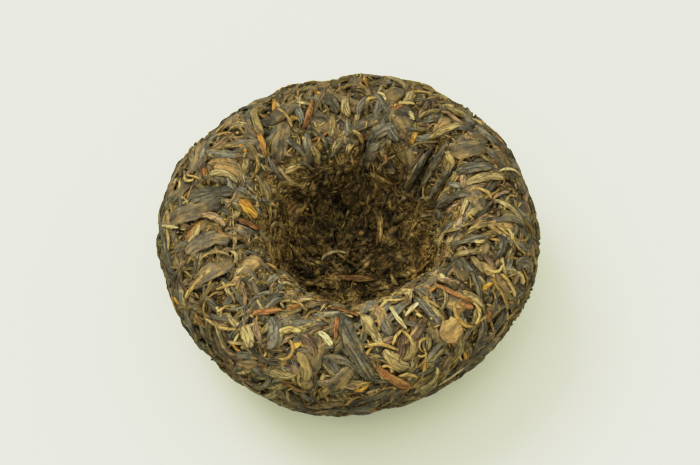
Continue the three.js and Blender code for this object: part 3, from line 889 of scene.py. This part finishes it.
# One finish for all leaf matter: fibres along each leaf, paler edges, mottling, dust in the hollow, and
# painted shade and light
def leafFinishGroup(shadeTree):
    outputs = {"Color": "Color", "Roughness": "Float", "Height": "Float"}
    g, given = newGroup("leaf finish", "ShaderNodeTree", INPUT=leafSockets, OUTPUT=outputs)
    f = finish

    def attribute(name):
        return g.split(g.add("ShaderNodeAttribute", attribute_name=name).outputs["Vector"])

    def mixed(share, a, b, blend="MIX"):
        return g.out("ShaderNodeMix", {"Factor": share, "A": a, "B": b}, data_type="RGBA", blend_type=blend)

    along, across, tint = attribute("leafPlace")
    _, edge, depth = attribute("leafShape")
    leafNumber = g.times(tint, f["leafStep"])

    def fibres(pitch, stretch, detail):
        farAlong = g.over(g.over(along, stretch), pitch)
        return g.noise(g.combine(farAlong, g.over(across, pitch), leafNumber), 1.0, detail)

    folds = g.math("ABSOLUTE", g.minus(fibres(given["Fold Pitch"], *f["folds"]), 0.5))
    fold = g.remap(folds, 0.0, f["foldLine"], smooth=True)
    fibre = g.remap(fibres(*f["fibres"]), *f["fibreBand"])
    shade = g.plus(g.times(g.minus(fibres(*f["streaks"]), 0.5), f["streakShare"]), tint)
    place = g.add("ShaderNodeTexCoord").outputs["Object"]
    mottle = g.cloud(place, *f["mottle"])
    stain = g.cloud(place, *f["stain"])
    pits = g.cloud(g.move(place, f["pitShift"]), *f["pits"])
    hollowShade = g.add("ShaderNodeGroup", node_tree=shadeTree).outputs
    inHollow = hollowShade["Dust"]

    # pale leaf margins, and a painted highlight on the folds' ridges
    rim = g.times(g.remap(edge, *f["rimAt"]), g.remap(fibre, *f["rimFibres"]))
    rim = g.math("MAXIMUM", rim, g.times(g.remap(folds, *f["ridgeLine"]), fibre))
    colour = given["Dark"]
    for share, over in (
        (g.remap(shade, *f["middleAt"]), given["Middle"]),
        (g.remap(shade, *f["lightAt"]), given["Light"]),
        (g.times(rim, given["Edge Share"]), given["Edge"]),
        (g.times(stain, given["Stain"]), f["stainColour"]),
        (g.times(inHollow, given["Dust"]), hollowShade["Dust Color"]),
    ):
        colour = mixed(share, colour, over)

    takesPaintedShade = g.math("MINIMUM", g.times(given["Dust"], f["creaseDust"]), 1.0)
    deepest, lessShadeInHollow, topmost = f["depthLight"]
    contrast = given["Contrast"]
    # painted shade and light: the hollow's, in the folds and pits, between the leaves, on the far side and on
    # the flank
    for light in (
        g.timesPlus(takesPaintedShade, g.minus(hollowShade["Shade"], 1.0), 1.0),
        g.timesPlus(g.times(contrast, f["fibreContrast"]), g.minus(fibre, 0.5), 1.0),
        g.timesPlus(g.times(contrast, -1.0), g.minus(1.0, fold), 1.0),
        g.remap(pits, 0.0, 1.0, f["pitLight"], 1.0),
        g.remap(mottle, 0.0, 1.0, *f["mottleLight"]),
        g.remap(depth, *f["depthAt"], g.timesPlus(inHollow, lessShadeInHollow, deepest), topmost),
        g.remap(g.split(place)[1], *f["sideAt"], *f["sideLight"]),
        hollowShade["Flank"],
    ):
        colour = mixed(1.0, colour, g.combine(light, light, light), "MULTIPLY")

    rough = g.remap(mottle, 0.0, 1.0, given["Smooth"], given["Rough"])
    ofFold, ofFibre, ofMottle, ofPits = f["heights"]
    height = g.plus(g.times(fold, ofFold), g.times(fibre, ofFibre))
    height = g.timesPlus(mottle, ofMottle, g.timesPlus(pits, ofPits, height))
    g.give({"Color": colour, "Roughness": g.plus(g.times(fibre, f["fibreGloss"]), rough), "Height": height})
    return g.tree


def newMaterial(name):
    material = bpy.data.materials.new(name)
    material.use_nodes = True
    return material, Graph(material.node_tree), material.node_tree.nodes["Principled BSDF"].inputs


def joinShader(material, shader, colour, rough, bump):
    for name, value in (("Base Color", colour), ("Roughness", rough), ("Normal", bump.outputs[0])):
        material.node_tree.links.new(value, shader[name])
    shader["Specular IOR Level"].default_value = finish["specular"]


def leafMaterial(name, kind, group):
    material, g, shader = newMaterial(name.replace("_", " "))
    leaf = g.add("ShaderNodeGroup", node_tree=group)
    for socket in leaf.inputs:
        value = kind[socketKey(socket)]
        socket.default_value = (*value, 1) if socket.type == "RGBA" else value
    colour, rough, height = leaf.outputs
    bump = {"Strength": finish["bumpStrength"], "Distance": finish["bumpDepth"], "Height": height}
    joinShader(material, shader, colour, rough, g.add("ShaderNodeBump", bump))
    return material


coreLook = dict(
    tearPitch=1.5 * mm,  # of the scraps' edges
    tear=1.4 * mm,
    scraps=0.7 * mm,
    scrapShare=0.6,
    dustPitch=0.4 * mm,
    dustShade=(0.3, 0.7, 0.0, 0.4),
    rough=(0.2, 0.8, 0.7, 0.95),
    stops=(
        (0.15, (0.026, 0.017, 0.007)), (0.4, (0.095, 0.063, 0.022)),
        (0.65, (0.2, 0.135, 0.043)), (0.9, (0.46, 0.32, 0.095)),
    ),
    dustHeight=0.4,
    bumpDepth=0.45 * mm,
)


# Broken leaf and dust: scraps of many browns, seen between the leaves and in the hollow, with the hollow's
# painted shade and light
def coreMaterial(shadeTree):
    material, g, shader = newMaterial("leaf core")
    c = coreLook
    place = g.add("ShaderNodeTexCoord").outputs["Object"]
    tear = g.add("ShaderNodeTexNoise", {"Vector": place, "Scale": 1 / c["tearPitch"], "Detail": 2.0})
    torn = g.vector("MULTIPLY_ADD", tear.outputs["Color"], (c["tear"],) * 3, place)
    scraps = g.add("ShaderNodeTexVoronoi", {"Vector": torn, "Scale": 1 / c["scraps"]}).outputs
    dust = g.noise(place, 1 / c["dustPitch"], 3.0)
    shade = g.timesPlus(g.split(scraps["Color"])[0], c["scrapShare"], g.remap(dust, *c["dustShade"]))
    ramp = g.add("ShaderNodeValToRGB", (shade,))
    bands = ramp.color_ramp.elements
    for at, _ in c["stops"][1:-1]:
        bands.new(at)
    for band, (_, colour) in zip(bands, c["stops"]):
        band.color = (*colour, 1)
    high = g.timesPlus(dust, c["dustHeight"], g.times(scraps["Distance"], -1.0))
    bump = g.add("ShaderNodeBump", {"Strength": 1.0, "Distance": c["bumpDepth"], "Height": high})
    # painted shade and light of the hollow
    hollowShade = g.add("ShaderNodeGroup", node_tree=shadeTree).outputs["Shade"]
    colour = g.scale(ramp.outputs["Color"], hollowShade)
    joinShader(material, shader, colour, g.remap(dust, *c["rough"]), bump)
    return material


studio = dict(
    floorSize=3.0,
    floorColour=(0.80, 0.815, 0.615),
    floorSpecular=0.2,
    grainScale=400.0,
    grainRough=(0.7, 0.85),
    sky=(0.95, 0.97, 0.93),
    skyStrength=0.86,
    lamps=dict(
        key=dict(power=1.65, size=0.35, at=(-0.28, 0.14, 0.64)),
        fill=dict(power=0.75, size=0.4, at=(-0.05, -0.36, 0.60)),
    ),
    response=((0.02, 0.015), (0.1, 0.1), (0.25, 0.29), (0.4, 0.52), (0.58, 0.69), (1.0, 0.82)),
)


def makeStudio():
    s = studio
    half = s["floorSize"] / 2
    mesh = bpy.data.meshes.new("floor")
    corners = [(-half, -half, 0), (half, -half, 0), (half, half, 0), (-half, half, 0)]
    mesh.from_pydata(corners, [], [(0, 1, 2, 3)])
    material, g, shader = newMaterial("pale paper")
    shader["Base Color"].default_value = (*s["floorColour"], 1)
    shader["Specular IOR Level"].default_value = s["floorSpecular"]
    grain = g.noise(g.add("ShaderNodeTexCoord").outputs["Object"], s["grainScale"], 2.0)
    material.node_tree.links.new(g.remap(grain, 0.0, 1.0, *s["grainRough"]), shader["Roughness"])
    mesh.materials.append(material)
    addObject("floor", mesh)
    world = bpy.data.worlds.new("studio")
    world.use_nodes = True
    background = world.node_tree.nodes["Background"].inputs
    background["Color"].default_value = (*s["sky"], 1)
    background["Strength"].default_value = s["skyStrength"]
    bpy.context.scene.world = world
    for name, values in s["lamps"].items():
        lamp = bpy.data.lights.new(name, "AREA")
        lamp.shape = "DISK"
        lamp.size = values["size"]
        lamp.energy = values["power"]
        at = Vector(values["at"])
        turn = (-at).to_track_quat("-Z", "Y").to_matrix().to_4x4()
        addObject(name, lamp).matrix_world = Matrix.Translation(at) @ turn
    settings = bpy.context.scene.view_settings
    settings.view_transform = "Standard"
    settings.use_curve_mapping = True
    curve = settings.curve_mapping.curves[3]
    curve.points[-1].location = s["response"][-1]
    for x, y in s["response"][:-1]:
        curve.points.new(x, y)
    settings.curve_mapping.update()


def finishPiece(obj):
    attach(obj, "root")
    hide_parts("tuocha")


camera = makeCamera()
makeStudio()
skin = cakeSurface("skin")
skinTree = BVHTree.FromPolygons([v.co for v in skin.vertices], [p.vertices for p in skin.polygons])

hollowShade = hollowShadeGroup()
core = addObject("leaf_core", cakeSurface("leaf_core", *cake["coreInset"]))
roughenCore(core.data)
core.data.materials.append(coreMaterial(hollowShade))
finishPiece(core)
print("core laid:", len(core.data.polygons), "faces")

layTree = leafLayerTree()
leafFinish = leafFinishGroup(hollowShade)
formObjects = {name: leafForm(name + " form", **form) for name, form in forms.items()}
spare = list(formObjects.values())
for name, kind in kinds.items():
    values = inMetres(usualKind | kind)
    piece = addObject(name, skin.copy())
    marks = landmarkPoints(name, values["largest"][2], camera, skinTree)
    spare.append(marks)
    modifier = piece.modifiers.new("leaves", "NODES")
    modifier.node_group = layTree
    material = leafMaterial(name, values, leafFinish)
    form = formObjects[values["form"]]
    setInputs(modifier, values | dict(leafForm=form, landmarks=marks, material=material))
    laid = bpy.data.meshes.new_from_object(piece.evaluated_get(bpy.context.evaluated_depsgraph_get()))
    piece.modifiers.clear()
    piece.data = laid
    laid.name = name
    finishPiece(piece)
    triangles = sum(len(p.vertices) - 2 for p in laid.polygons)
    print(name, "laid:", triangles, "triangles")
for obj in spare:
    bpy.data.objects.remove(obj)
